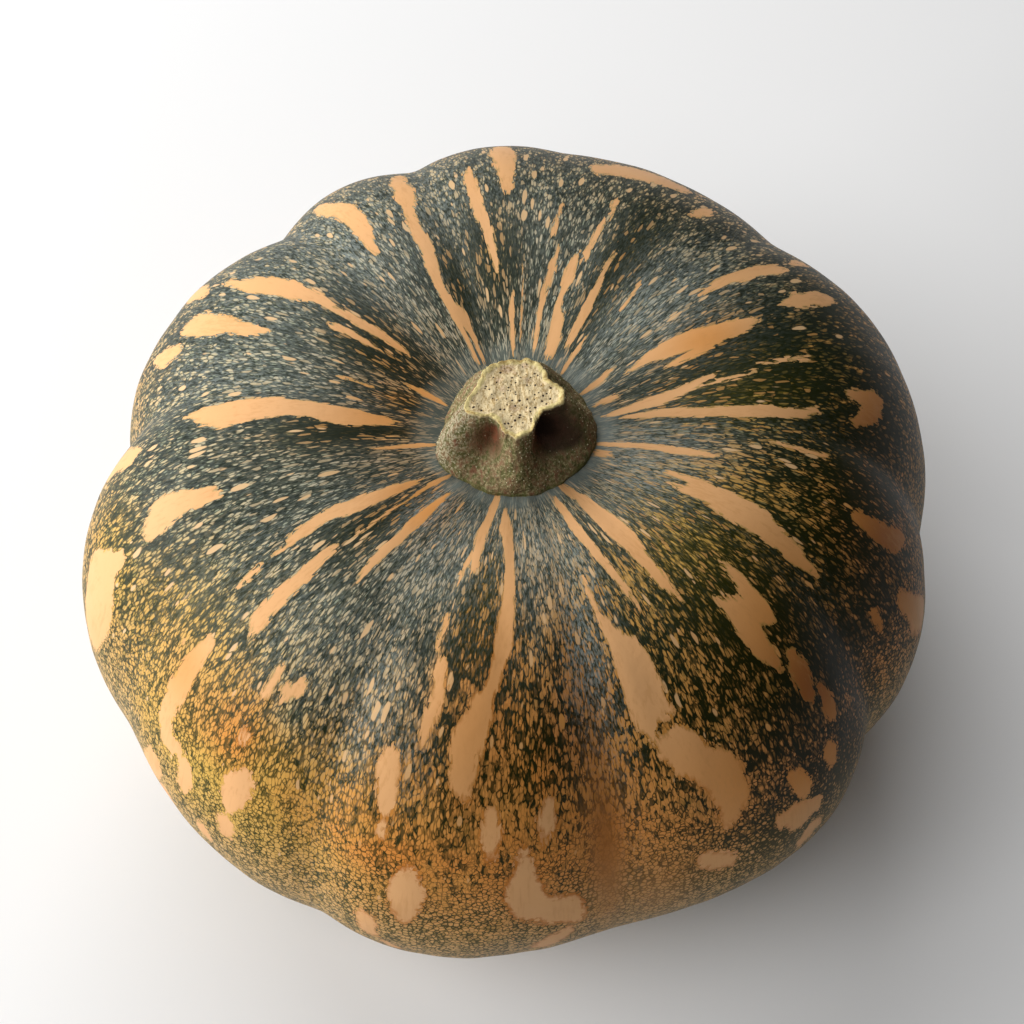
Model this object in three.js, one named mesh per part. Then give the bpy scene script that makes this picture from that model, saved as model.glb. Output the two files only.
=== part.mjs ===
import * as THREE from 'three';

// A kabocha squash standing on its blossom end, in millimetres, +Z up.
// The origin lies under the middle of the fruit, on the surface that it stands on.
// Azimuths are in degrees, counted from +X towards +Y, around the stem's own axis.

// The fruit: a meridian is an upper and a lower superellipse that meet at the widest level.
const REACH = 98;                 // from the stem's axis out to the widest level, on average
const CROWN_RISE = 61;            // from the widest level up to the crown
const BELLY_DROP = 59;            // from the widest level down to the underside
const CROWN_FULLNESS = 3.3;       // 2 is round, more is broader in the shoulder
const CROWN_FLATNESS = 1.9;       // 2 is round, less slopes earlier
const BELLY_FULLNESS = 2.33;
const BELLY_FLATNESS = 2.22;
const HOLLOW_DEPTH = 9.8;         // the hollow in the crown that the stem sits in
const HOLLOW_WIDTH = 0.36;        // as a part of REACH

// The fruit grew further to one side of its stem than to the other, and isn't quite round.
const UNEVENNESS = [
  { waves: 1, cosine: -0.019, sine: 0.086 },
  { waves: 3, cosine: 0.013, sine: -0.008 },
  { waves: 5, cosine: -0.017, sine: 0.001 },
];

// Ten furrows run from stem to blossom end and leave ten broad ribs between them.
// A furrow has a depth over the crown and one in the belly, as parts of REACH.
const FURROWS = [
  { azimuth: -75, crown: 0.095, belly: 0.018 },
  { azimuth: -28, crown: 0.125, belly: 0.099 },
  { azimuth: 2, crown: 0.075, belly: 0.057 },
  { azimuth: 48, crown: 0.072, belly: 0.072 },
  { azimuth: 83, crown: 0.025, belly: 0.025 },
  { azimuth: 106, crown: 0.117, belly: 0.117 },
  { azimuth: 129, crown: 0.124, belly: 0.124 },
  { azimuth: 168, crown: 0.131, belly: 0.131 },
  { azimuth: 205, crown: 0.055, belly: 0.033 },
  { azimuth: 242, crown: 0.085, belly: 0.055 },
];
const BELLY_FROM = radians(50);   // the belly's depth takes over between these meridian angles
const BELLY_TO = radians(95);
const FURROW_SPREAD = 12;         // degrees over which a furrow's wall falls away
const FURROW_ROUNDING = 1.5;      // degrees that soften its bottom
const FURROW_TAPER = 0.7;         // furrows grow shallower towards the stem by this power
const CROWN_SAG = 0.2;            // how far furrows also dip in the crown, as a part of their depth
const BELLY_SAG = 0.3;            // how far they also rise in the belly

// The underside: a flat ring to stand on, round the small hollow of the blossom end.
const RING_OUTER = 27;
const RING_INNER = 13;
const RIB_FADE = 30;              // the ribs fade in over this distance outside the ring
const BLOSSOM_DEPTH = 3;

// The stem: five ridges that flare into a foot, with hollows between, cut off square.
const SEAT_REACH = 18.5;          // the flat spot in the crown's hollow that the stem stands on
const STEM_HEIGHT = 14.7;
const STEM_SKIRT = 0.1;           // the hollows begin above this part of the height
const STEM_RIDGES = [
  // foot and cut are radii; power shapes the side: over 1 bulges, under 1 is hollow
  { azimuth: -155, foot: 17.0, cut: 10.9, power: 1.9, undercut: 0 },
  { azimuth: -124, foot: 15.2, cut: 7.8, power: 0.8, undercut: 2.6 },
  { azimuth: -88, foot: 15.2, cut: 11.0, power: 1.1, undercut: 0 },
  { azimuth: -46, foot: 15.2, cut: 7.2, power: 0.75, undercut: 3.8 },
  { azimuth: -6, foot: 16.4, cut: 9.8, power: 1.6, undercut: 0 },
  { azimuth: 26, foot: 16.0, cut: 7.0, power: 0.9, undercut: 0.4 },
  { azimuth: 62, foot: 15.4, cut: 8.0, power: 1.5, undercut: 0 },
  { azimuth: 98, foot: 14.4, cut: 7.3, power: 0.7, undercut: 0.8 },
  { azimuth: 134, foot: 14.6, cut: 7.7, power: 1.5, undercut: 0 },
  { azimuth: 170, foot: 14.6, cut: 7.6, power: 0.8, undercut: 0.6 },
];

// How finely the surfaces are faceted.
const COLUMN_STEP = 3.7;          // degrees, at most, between columns of the fruit's mesh
const FRUIT_ROWS = 34;
const BLOSSOM_ROWS = 3;
const STEM_COLUMNS = 60;
const STEM_ROWS = 10;
const PROFILE_SAMPLES = 2000;

function radians(degrees) {
  return THREE.MathUtils.degToRad(degrees);
}

function turnBetween(a, b) {
  return THREE.MathUtils.euclideanModulo(a - b + 180, 360) - 180;
}

function unevenness(azimuth) {
  let factor = 1;
  for (const { waves, cosine, sine } of UNEVENNESS) {
    const angle = radians(waves * azimuth);
    factor += cosine * Math.cos(angle) + sine * Math.sin(angle);
  }
  return factor;
}

function furrowDepth(azimuth, angle) {
  const share = THREE.MathUtils.smoothstep(angle, BELLY_FROM, BELLY_TO);
  let depth = 0;
  for (const furrow of FURROWS) {
    const away = Math.hypot(turnBetween(azimuth, furrow.azimuth), FURROW_ROUNDING);
    depth += THREE.MathUtils.lerp(furrow.crown, furrow.belly, share) * Math.exp(-away / FURROW_SPREAD);
  }
  return depth;
}

// A meridian without ribs. The angle runs from 0 at the stem to PI at the blossom end.
function meridian(angle) {
  const across = Math.sin(angle);
  const along = Math.cos(angle);
  if (along >= 0) {
    const out = across ** (2 / CROWN_FULLNESS);
    const hollow = HOLLOW_DEPTH * Math.exp(-((out / HOLLOW_WIDTH) ** 2));
    return { out, z: CROWN_RISE * along ** (2 / CROWN_FLATNESS) - hollow };
  }
  const out = across ** (2 / BELLY_FULLNESS);
  return { out, z: -BELLY_DROP * (-along) ** (2 / BELLY_FLATNESS) };
}

function angleWhereOut(out, fullness, below) {
  const angle = Math.asin(out ** (fullness / 2));
  return below ? Math.PI - angle : angle;
}

const SEAT_ANGLE = angleWhereOut(SEAT_REACH / REACH, CROWN_FULLNESS, false);
const RING_ANGLE = angleWhereOut(RING_OUTER / REACH, BELLY_FULLNESS, true);
const FLOOR = meridian(RING_ANGLE).z;
const SEAT = meridian(SEAT_ANGLE).z - FLOOR;

function skinPoint(azimuth, angle) {
  const { out, z } = meridian(angle);
  const along = Math.cos(angle);
  const fade = THREE.MathUtils.smoothstep(out * REACH, RING_OUTER, RING_OUTER + RIB_FADE);
  const depth = furrowDepth(azimuth, angle) * out ** FURROW_TAPER * (along < 0 ? fade : 1);
  const sag = along > 0 ? -CROWN_SAG * along : -BELLY_SAG * along;
  const radius = REACH * out * (unevenness(azimuth) - depth);
  return onAxis(azimuth, radius, z - FLOOR + REACH * depth * sag);
}

function onAxis(azimuth, radius, z) {
  return new THREE.Vector3(radius * Math.cos(radians(azimuth)), radius * Math.sin(radians(azimuth)), z);
}

// Angles that cut a meridian into stretches of even length, both ends left out.
function evenAngles(count, from, to) {
  const lengths = [0];
  let last = meridian(from);
  for (let i = 1; i <= PROFILE_SAMPLES; i += 1) {
    const next = meridian(from + ((to - from) * i) / PROFILE_SAMPLES);
    lengths.push(lengths[i - 1] + Math.hypot(REACH * (next.out - last.out), next.z - last.z));
    last = next;
  }
  const angles = [];
  for (let row = 1, i = 0; row < count; row += 1) {
    while (lengths[i] < (lengths[PROFILE_SAMPLES] * row) / count) i += 1;
    angles.push(from + ((to - from) * i) / PROFILE_SAMPLES);
  }
  return angles;
}

// Columns run from furrow to furrow, so that one lies in the bottom of each furrow.
function columnAzimuths() {
  const azimuths = [];
  FURROWS.forEach((furrow, i) => {
    const next = FURROWS[(i + 1) % FURROWS.length];
    const width = THREE.MathUtils.euclideanModulo(next.azimuth - furrow.azimuth, 360);
    const columns = Math.ceil(width / COLUMN_STEP);
    for (let column = 0; column < columns; column += 1) {
      azimuths.push(furrow.azimuth + (width * column) / columns);
    }
  });
  return azimuths;
}

// A closed body from rings of points, listed from the top down and closed by two end points.
function skinnedBody(top, rings, bottom) {
  const columns = rings[0].length;
  const points = [top, ...rings.flat(), bottom];
  const index = [];
  const at = (ring, column) => 1 + ring * columns + (column % columns);
  for (let column = 0; column < columns; column += 1) {
    index.push(0, at(0, column), at(0, column + 1));
    for (let ring = 0; ring + 1 < rings.length; ring += 1) {
      const corners = [at(ring, column), at(ring + 1, column), at(ring + 1, column + 1), at(ring, column + 1)];
      index.push(corners[0], corners[1], corners[2], corners[0], corners[2], corners[3]);
    }
    index.push(at(rings.length - 1, column), points.length - 1, at(rings.length - 1, column + 1));
  }
  const geometry = new THREE.BufferGeometry().setFromPoints(points);
  geometry.setIndex(index);
  geometry.computeVertexNormals();
  return geometry;
}

function fruitGeometry() {
  const azimuths = columnAzimuths();
  const flatRing = (reach, z) => azimuths.map((azimuth) => onAxis(azimuth, reach * unevenness(azimuth), z));
  const rings = [flatRing(SEAT_REACH, SEAT)];
  for (const angle of evenAngles(FRUIT_ROWS, SEAT_ANGLE, RING_ANGLE)) {
    rings.push(azimuths.map((azimuth) => skinPoint(azimuth, angle)));
  }
  rings.push(flatRing(RING_OUTER, 0), flatRing(RING_INNER, 0));
  for (let row = 1; row < BLOSSOM_ROWS; row += 1) {
    const turn = (Math.PI * row) / BLOSSOM_ROWS;
    const height = (BLOSSOM_DEPTH * (1 - Math.cos(turn))) / 2;
    rings.push(flatRing(RING_INNER * (1 - row / BLOSSOM_ROWS), height));
  }
  return skinnedBody(onAxis(0, 0, SEAT), rings, onAxis(0, 0, BLOSSOM_DEPTH));
}

// The stem's measures at an azimuth, eased between the two nearest ridges or hollows.
function stemMeasures(azimuth) {
  const count = STEM_RIDGES.length;
  let i = 0;
  const gapAfter = (k) => {
    const step = STEM_RIDGES[(k + 1) % count].azimuth - STEM_RIDGES[k].azimuth;
    return THREE.MathUtils.euclideanModulo(step, 360);
  };
  const past = (k) => THREE.MathUtils.euclideanModulo(azimuth - STEM_RIDGES[k].azimuth, 360);
  while (past(i) >= gapAfter(i)) i += 1;
  const here = STEM_RIDGES[i];
  const next = STEM_RIDGES[(i + 1) % count];
  const share = (1 - Math.cos((Math.PI * past(i)) / gapAfter(i))) / 2;
  const ease = (key) => THREE.MathUtils.lerp(here[key], next[key], share);
  return { foot: ease('foot'), cut: ease('cut'), power: ease('power'), undercut: ease('undercut') };
}

function stemRadius(azimuth, height) {
  const { foot, cut, power, undercut } = stemMeasures(azimuth);
  const above = Math.max(0, height - STEM_SKIRT) / (1 - STEM_SKIRT);
  const hollow = undercut * Math.max(0, Math.sin(Math.PI * above)) ** 1.3;
  return foot + (cut - foot) * height ** power - hollow;
}

function stemGeometry() {
  const rings = [];
  for (let row = STEM_ROWS; row >= 0; row -= 1) {
    const height = row / STEM_ROWS;
    const ring = [];
    for (let column = 0; column < STEM_COLUMNS; column += 1) {
      const azimuth = -180 + (360 * column) / STEM_COLUMNS;
      ring.push(onAxis(azimuth, stemRadius(azimuth, height), SEAT + STEM_HEIGHT * height));
    }
    rings.push(ring);
  }
  return skinnedBody(onAxis(0, 0, SEAT + STEM_HEIGHT), rings, onAxis(0, 0, SEAT));
}

const skin = new THREE.MeshStandardMaterial({ color: 0x35453c, roughness: 0.5, metalness: 0 });
const corkyWood = new THREE.MeshStandardMaterial({ color: 0x8a7a4e, roughness: 0.85, metalness: 0 });

const fruit = new THREE.Mesh(fruitGeometry(), skin);
fruit.name = 'fruit';
const stem = new THREE.Mesh(stemGeometry(), corkyWood);
stem.name = 'stem';

const squash = new THREE.Group();
squash.add(fruit, stem);
fruit.geometry.computeBoundingBox();
const middle = fruit.geometry.boundingBox.getCenter(new THREE.Vector3());
squash.position.set(-middle.x, -middle.y, 0);

export default squash;
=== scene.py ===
import math
import random
from functools import partialmethod
from types import SimpleNamespace

import bpy
import numpy as np
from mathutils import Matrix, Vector, noise


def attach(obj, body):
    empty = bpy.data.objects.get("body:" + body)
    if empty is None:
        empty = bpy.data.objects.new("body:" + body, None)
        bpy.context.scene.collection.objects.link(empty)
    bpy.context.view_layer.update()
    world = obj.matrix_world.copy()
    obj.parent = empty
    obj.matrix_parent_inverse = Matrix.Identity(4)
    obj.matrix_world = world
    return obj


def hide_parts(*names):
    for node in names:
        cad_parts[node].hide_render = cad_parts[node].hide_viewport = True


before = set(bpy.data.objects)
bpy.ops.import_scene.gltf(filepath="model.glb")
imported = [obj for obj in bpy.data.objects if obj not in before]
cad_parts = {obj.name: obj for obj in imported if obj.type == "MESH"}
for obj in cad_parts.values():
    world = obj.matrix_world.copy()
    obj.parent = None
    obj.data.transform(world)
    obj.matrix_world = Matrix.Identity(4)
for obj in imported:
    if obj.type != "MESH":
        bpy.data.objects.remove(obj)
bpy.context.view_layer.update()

# A kabocha squash standing on its blossom end. Metres, +Z up, as the frame is.
# Azimuths are in degrees from +X towards +Y, around the stem's own axis. Distances over
# the skin are in millimetres, from that axis along a rib's meridian.

MM = 0.001

# ------------------------------------------------------------------ measures of the fruit
REACH = 98 * MM                 # from the stem's axis out to the widest level, on average
SIZES = {
    "Reach": REACH,
    "Crown rise": 61 * MM,      # from the widest level up to the crown
    "Belly drop": 59 * MM,      # from the widest level down to the underside
    "Crown fullness": 3.3,
    "Crown flatness": 1.9,
    "Belly fullness": 2.33,
    "Belly flatness": 2.22,
    "Hollow depth": 9.8 * MM,   # the hollow in the crown that the stem sits in
    "Hollow width": 0.36,       # as a part of the reach
    "Ring outer": 27 * MM,      # the flat ring that the fruit stands on
    "Ring inner": 13 * MM,
    "Blossom depth": 3 * MM,
}
UNEVENNESS = (                  # waves around, cosine, sine
    (1, -0.019, 0.086),
    (3, 0.013, -0.008),
    (5, -0.017, 0.001),
)
FURROWS = (                     # azimuth, depth over the crown, depth in the belly
    (-75, 0.095, 0.018),
    (-28, 0.125, 0.099),
    (2, 0.075, 0.057),
    (48, 0.072, 0.072),
    (83, 0.025, 0.025),
    (106, 0.117, 0.117),
    (129, 0.124, 0.124),
    (168, 0.131, 0.131),
    (205, 0.055, 0.033),
    (242, 0.085, 0.055),
)
FURROW_SPREAD = 12              # degrees
FURROW_ROUNDING = 1.5           # degrees
FURROW_TAPER = 0.7
BELLY_FROM = math.radians(50)   # meridian angles between which the belly's depths take over
BELLY_TO = math.radians(95)
CROWN_SAG = 0.2
BELLY_SAG = 0.3
RIB_FADE = 30 * MM
SEAT_REACH = 18.5 * MM          # where the frame's seat for the stem ends
SKIN_WAVE = 0.5 * MM            # gentle unevenness that the ribs have besides
SKIN_WAVE_LENGTH = 16           # millimetres
SKIN_WAVE_FROM = 10 * MM        # the height above which it shows in full

FRUIT_COLUMNS = 480
FRUIT_ROWS = 204
MERIDIAN_STEPS = 8001
AXIS = Vector((1.398 * MM, -6.916 * MM, 0))    # the stem's axis, off the middle of the fruit

# Blotches were drawn while the fruit was small and narrow, so for them one degree around
# counts as much as this many millimetres along, at any distance from the stem.
MAP_PER_DEGREE = 2.25
NET_PITCH = 1.0                 # millimetres, of the net in the belly
# The crown's net runs along the meridians: it is drawn on a slim cone and stretched.
CONE_TOP = 66                   # the cone's radius at the stem, in the crown net's own units
CONE_SPREAD = 0.4               # how fast the cone widens over the distance from the stem
CONE_STRETCH = 0.42             # units along for each millimetre, near the stem
CONE_SQUARE = 0.80              # and where the belly's net takes over
CONE_CHANGE = (90, 125)         # the distances between which one gives way to the other
CONE_EDGE = 110                 # the distance from which the cone widens no more
CONE_STEPS = 1200
CONE_PITCH = 0.8
FIBRE_PITCH = 1.05              # of the longer lines that run down from the stem
# Distances from the stem between which one look gives way to another.
# Near the stem the skin is greyer and lighter: partly its bloom, partly painted sheen from the
# lamps' reflection on the crown.
NEAR_STEM = (85, 35)
BELLY = (74, 108)
UNDERSIDE = (106, 138)
EVEN_NET = (108, 111)           # where the belly's net takes over
FEWER_DASHES = (20, 80)
COLLAR_EDGE = (22.5, 17.5)
SCAR_EDGE = (7.0, 4.5)          # this one is from the blossom end
HALO = (5.0, 0.8)               # and this one from a blotch
# Sizes of the noises and spots that the markings are made with, in millimetres.
PATCH_SIZE = 9
FINGER_SIZE = 3.0
SPOT_SPACING = 2.8
BAND_SIZE = 2.6
BUMP_SIZE = 2.5
STREAK_SIZE = 1.1
GRIT_SIZE = 0.6
THREAD_SIZE = 0.5

# ------------------------------------------------------------------ measures of the stem
STEM_HEIGHT = 14.7 * MM
STEM_SKIRT = 0.1                # the hollows begin above this part of the height
STEM_RIDGES = (                 # azimuth, foot radius, cut radius, power, undercut
    (-155, 17.0, 10.9, 1.9, 0.0),
    (-124, 15.2, 7.8, 0.8, 2.6),
    (-88, 15.2, 11.0, 1.1, 0.0),
    (-46, 15.2, 7.2, 0.75, 3.8),
    (-6, 16.4, 9.8, 1.6, 0.0),
    (26, 16.0, 7.0, 0.9, 0.4),
    (62, 15.4, 8.0, 1.5, 0.0),
    (98, 14.4, 7.3, 0.7, 0.8),
    (134, 14.6, 7.7, 1.5, 0.0),
    (170, 14.6, 7.6, 0.8, 0.6),
)
STEM_ROOT = 0.12                # how far it goes on below its seat, as a part of the height
STEM_ROUGHNESS = (              # size, seed, depth, in millimetres
    (1.8, 3, 0.32),
    (0.6, 5, 0.12),
)
DEEP_HOLLOW = 2.8               # the undercut of a hollow that is brown and dark all through: partly the wood's own colour, partly painted shade
PALE_LOBES = (                  # azimuth, spread, strength: where the side is pale
    (-158, 24, 1.0),
    (-72, 12, 0.5),
)
SHADED_SIDE = (-36, 25)         # azimuth and spread of the side painted in shade
STEM_COLUMNS = 260
STEM_ROWS = 70
CUT_RINGS = 40
CUT_RAGGEDNESS = (              # the same, along the edge of the cut
    (1.7, 9, 0.5),
    (0.7, 4, 0.25),
)
CUT_LIP = 0.4 * MM              # how far that edge stands above the cut's middle
LIP_WAVES = ((2.5, 6, 1.0),)    # size, seed and strength of the changes in that
RIM_WIDTH = (1.9, 0.3)          # millimetres from the edge, where the rim begins and is full
PORE_SPACING = 0.75 * MM
WOOD_PATCH = 3.2 * MM           # sizes of the noises that colour the stem
WOOD_STREAK = 1.0 * MM
WOOD_THREAD = 0.45 * MM
GRAIN_SIZE = 0.55 * MM
MOTTLE_SIZE = 0.4 * MM
SPECK_SCALES = (0.6, 1.3)       # the least and the most, times the speck size
SPECKS = {
    "Spacing": 0.62 * MM,       # the least distance between specks
    "Density": 1.1e6,           # the most specks on a square metre
    "Speck size": 0.13 * MM,
    "Seed": 5,
}

# ------------------------------------------------------------------ pale blotches
# Each blotch is a chain of rounds: azimuth, distance from the stem, half-width in degrees.
BLOTCHES = (
    # front rib, azimuth -118 to -73
    ((-103.5, 19, 2.4), (-104.6, 28, 2.4), (-103.8, 36, 1.4)),
    ((-106.4, 36, 0.6), (-107, 40, 0.7)),
    ((-106.6, 50, 0.7), (-106.8, 56, 0.7)),
    ((-96, 24, 1.8), (-93, 29, 1.9), (-91.8, 37, 1.7), (-92, 47, 2.0), (-92.8, 55, 2.1),
     (-93.6, 62, 1.3), (-95, 66, 1.2), (-96.3, 71, 2.4), (-98, 77, 2.6), (-98, 83, 2.0),
     (-97.5, 88, 0.9)),
    ((-105, 61, 1.2), (-104.2, 66, 1.3), (-104.8, 72, 1.2), (-105, 77, 0.5)),
    ((-109.5, 83, 1.8), (-109, 88, 1.8), (-108.5, 93, 1.1)),
    ((-108.5, 98, 0.8), (-108.6, 99, 0.8)),
    ((-93.5, 93, 1.0), (-93.5, 98, 1.7), (-93.3, 103, 0.8)),
    ((-84.8, 94, 1.0), (-85.2, 98, 1.5), (-86, 102, 0.6)),
    ((-89, 104, 0.9), (-88.5, 109, 1.7), (-88.8, 114, 2.6), (-88, 119, 2.5),
     (-85.5, 123, 2.0), (-82.5, 125, 2.2), (-81.5, 128, 1.4)),
    ((-104.1, 109.5, 1.6), (-104.2, 114, 2.5), (-104.3, 119, 2.1), (-104.6, 122.5, 1.1)),
    ((-109.5, 128, 1.6), (-109.5, 134, 1.3)),
    ((-107, 140, 0.9), (-106.5, 143, 1.0)),
    ((-83, 135, 1.2), (-86, 141, 1.6)),
    # right front rib, azimuth -73 to -28
    ((-63.5, 24, 2.0), (-63.2, 31, 2.1), (-62, 38, 1.6), (-60.8, 46, 1.1), (-60, 54, 0.5)),
    ((-69.7, 46, 0.7), (-69.3, 55, 1.0), (-67.5, 62, 2.2), (-66.2, 68, 3.6),
     (-66, 74, 3.6), (-67.2, 79, 2.2), (-66.8, 85, 0.7)),
    ((-64, 74, 1.4), (-62.8, 79, 0.8)),
    ((-65, 88, 1.6), (-62.5, 90, 3.0), (-60, 94, 2.4), (-57.8, 98, 3.0), (-57.5, 103, 2.8),
     (-58.3, 108, 1.8), (-59, 112, 0.7)),
    ((-62.5, 121, 1.2), (-60, 123, 1.6)),
    ((-51.5, 22, 2.0), (-51.2, 27, 3.6), (-50.8, 33, 4.2), (-50.8, 38, 3.0),
     (-51.2, 44, 1.9), (-51.3, 50, 1.5), (-50.8, 56, 0.7)),
    ((-55, 19, 1.4), (-52, 19, 1.0)),
    ((-37, 57, 0.8), (-37.8, 63, 1.6), (-39, 69, 2.2), (-41.5, 67, 1.8), (-43.2, 66, 2.0),
     (-43.2, 70, 2.4), (-43.4, 75, 1.9), (-43, 80, 0.9)),
    ((-44.3, 62, 0.9), (-43.8, 65, 1.2)),
    ((-40, 82, 1.0), (-40, 87, 2.0), (-40.5, 91, 1.5)),
    ((-38, 95, 0.9), (-38.3, 99, 1.6), (-38, 102, 0.8)),
    ((-48, 107, 1.2), (-47, 112, 1.6)),
    ((-51, 118, 1.2), (-48.5, 120, 2.2), (-45.5, 121, 1.2)),
    ((-41, 110, 1.5), (-41, 112, 1.2)),
    ((-45.5, 131, 1.6), (-47, 134, 1.4)),
    # right rib, azimuth -28 to 2
    ((-19.8, 36, 1.0), (-20.4, 42, 1.5), (-22.5, 46, 2.8), (-23, 51, 3.3), (-23.6, 57, 3.0),
     (-24.2, 63, 2.1), (-24.8, 70, 1.6), (-25, 77, 0.7)),
    ((-23.4, 37, 0.7), (-24.2, 41, 1.0), (-23.6, 45, 1.6)),
    ((-8.8, 20, 1.8), (-8.8, 27, 1.6), (-9.8, 33, 1.6), (-10.3, 38, 1.5), (-10.4, 42, 0.8)),
    ((-18, 19, 1.0), (-14, 19, 0.8)),
    ((-11.5, 81, 1.4), (-11.5, 86, 1.8), (-10.5, 92, 1.8), (-8.5, 97, 1.2)),
    ((-21.8, 98, 0.8), (-22, 102, 0.7)),
    ((-3, 56, 0.5), (-3, 69, 0.6)),
    ((-16, 105, 1.4), (-14.5, 114, 2.6), (-12, 120, 2.2)),
    # right back rib, azimuth 2 to 48
    ((8.5, 24, 1.0), (7, 29, 1.6), (5.8, 35, 1.8), (4.8, 41, 1.8), (4.8, 48, 1.7),
     (5, 55, 1.6), (5.2, 61, 1.3), (6.3, 66, 0.9)),
    ((12.5, 24, 2.4), (12.8, 30, 2.5), (14, 35, 1.5), (16, 40, 1.1), (17, 43, 0.5)),
    ((13.6, 36, 0.7), (14.2, 42, 0.7), (15, 48, 0.7), (15.5, 52, 0.5)),
    ((17.6, 54, 0.5), (17.6, 60, 0.7), (17.8, 65, 0.5)),
    ((7, 79.5, 1.1), (9, 83.5, 1.5), (11.8, 84, 1.8), (11.5, 78, 1.2)),
    ((31.5, 29, 1.3), (31.8, 34, 2.4), (30, 40, 3.0), (28.5, 46, 2.8), (28.2, 52, 1.9),
     (28, 56, 0.7)),
    ((25.2, 36, 1.1), (25.8, 42, 1.8)),
    ((30.8, 66, 0.8), (30.8, 71, 1.8), (31, 77, 1.7), (31, 82, 0.8)),
    ((40.6, 51, 0.7), (40.3, 56, 1.1), (39.8, 62, 1.4), (39.5, 68, 1.6), (39, 73, 1.3),
     (38.5, 76, 0.5)),
    ((40, 82, 0.8), (40.5, 88, 0.9)),
    ((36, 20, 2.0), (37, 23, 1.0)),
    ((21, 20, 1.0), (23.5, 20, 1.0)),
    # back ribs, azimuth 48 to 106
    ((57.5, 19, 1.0), (57.5, 23, 1.4)),
    ((53, 37, 0.6), (53.5, 43, 0.5)),
    ((56.8, 73, 1.1), (56.5, 78, 1.3), (55.8, 80, 0.6)),
    ((63, 26, 1.6), (63.2, 31, 1.8), (63.4, 36, 1.4), (64, 42, 0.8), (64, 46, 0.4)),
    ((68.5, 21.5, 1.4), (71.5, 24, 2.4), (73.5, 28, 1.6), (73.8, 33, 0.9), (73.5, 38, 1.9),
     (73, 42, 0.9)),
    ((71, 44, 0.9), (70.5, 50, 0.8), (70, 56, 0.4)),
    ((70, 59, 0.6), (70, 62, 0.7)),
    ((79.6, 21, 1.0), (80.3, 27, 1.0), (80.2, 33, 1.1), (79, 38, 1.2), (78.8, 43, 0.7)),
    ((80.8, 48, 0.6), (80, 56, 0.4)),
    ((63, 84, 1.6), (68, 82, 2.6), (73, 80, 2.4), (76, 76, 1.6)),
    ((91.8, 21, 1.4), (91.8, 26, 1.1), (91.3, 30, 0.5)),
    ((96, 38, 0.9), (96.6, 43, 1.2), (97.5, 49, 1.3), (98.3, 55, 1.4), (98.6, 61, 1.2),
     (98.8, 67, 1.0), (98.3, 71, 0.5)),
    ((91.8, 61, 1.2), (91.9, 66, 1.7), (92, 72, 2.0), (92.2, 78, 2.2), (92.5, 84, 1.5)),
    ((87.8, 22, 0.4), (87.5, 38, 0.5)),
    # back left ribs, azimuth 106 to 168
    ((110.5, 19, 1.2), (111.2, 27, 1.6), (114.2, 30, 1.8), (114.8, 37, 1.5),
     (113.5, 43, 1.6), (112.8, 50, 1.6), (112.8, 57, 1.3), (112, 61, 1.2), (111.5, 65, 2.0),
     (110.8, 69, 1.8), (110.5, 74, 1.4), (109.5, 80, 0.9)),
    ((114.5, 20, 1.2), (114.4, 27, 1.4)),
    ((123.8, 54, 1.0), (123, 59, 1.8), (122, 65, 2.2), (122, 72, 2.0), (122.8, 79, 1.8),
     (123, 85, 1.2)),
    ((141, 31, 1.2), (141.7, 36, 1.5), (142.5, 42, 1.3), (143, 47, 0.8), (142.5, 53, 1.6),
     (143.3, 59, 2.4), (144, 64, 2.4), (144.8, 69, 2.0), (145, 74, 1.1), (145, 80, 0.8)),
    ((146.8, 35, 0.9), (147, 40, 1.1), (147.2, 44, 1.0)),
    ((154.8, 60, 1.0), (154.8, 65, 1.7), (154.3, 70, 1.6), (154.5, 75, 2.5),
     (154, 80, 2.5), (153.5, 83, 1.1)),
    ((158.5, 86, 1.2), (158.8, 90, 1.8), (158.2, 94, 0.9)),
    ((147, 87, 1.0), (146, 92, 1.8), (145.5, 97, 1.6)),
    ((154, 20, 1.9), (154.2, 23, 1.1)),
    ((161.5, 32, 0.5), (161.8, 38, 0.4)),
    # left rib, azimuth 168 to 205
    ((176, 30, 2.6), (176.4, 34, 3.6), (175, 40, 3.0), (174.5, 46, 2.8), (174.5, 52, 3.2),
     (174.5, 58, 3.2), (174.8, 64, 2.6), (173.8, 68, 1.7), (173.8, 73, 0.5)),
    ((177, 56, 1.2), (177.6, 62, 1.3)),
    ((190, 19, 1.4), (190.6, 24, 1.3), (191, 28, 0.6)),
    ((177, 90, 1.6), (175.5, 97, 2.0), (176, 102, 1.2)),
    ((193, 66, 1.6), (192, 71, 2.2), (191.6, 76, 2.8), (192.8, 80, 2.0), (193.8, 83, 0.8)),
    ((193, 95, 1.4), (192.2, 100, 2.4), (192, 106, 4.0), (194, 111, 4.5),
     (194.5, 116, 3.5), (195.5, 120, 1.6)),
    # left front rib, azimuth 205 to 242
    ((212.5, 28, 1.8), (211.8, 33, 2.6), (211, 39, 2.6), (209.8, 45, 1.9), (210.2, 51, 1.6),
     (211.2, 56, 0.9), (211.2, 60, 0.5)),
    ((211.6, 65, 0.9), (211.8, 69, 0.8)),
    ((217.5, 21, 1.6), (218, 23, 1.0), (219.2, 33, 0.4), (219.6, 44, 0.4)),
    ((218.8, 51, 1.2), (219.2, 57, 1.6), (219.2, 63, 1.8), (219.3, 69, 1.8), (220.3, 74, 0.7)),
    ((228.3, 26, 2.2), (229, 31, 2.4), (229.2, 37, 1.8), (229, 43, 1.5), (229.2, 49, 0.8)),
    ((215, 84, 1.2), (214.8, 89, 1.7), (214.9, 95, 1.8), (214.6, 101, 1.8),
     (214.8, 108, 1.4), (216.5, 112, 1.3), (218.4, 111, 1.1)),
    ((220.5, 113, 1.2), (221.3, 116, 1.6), (221, 119, 1.2)),
    ((214.2, 126, 2.0), (213, 131, 1.7)),
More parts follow.
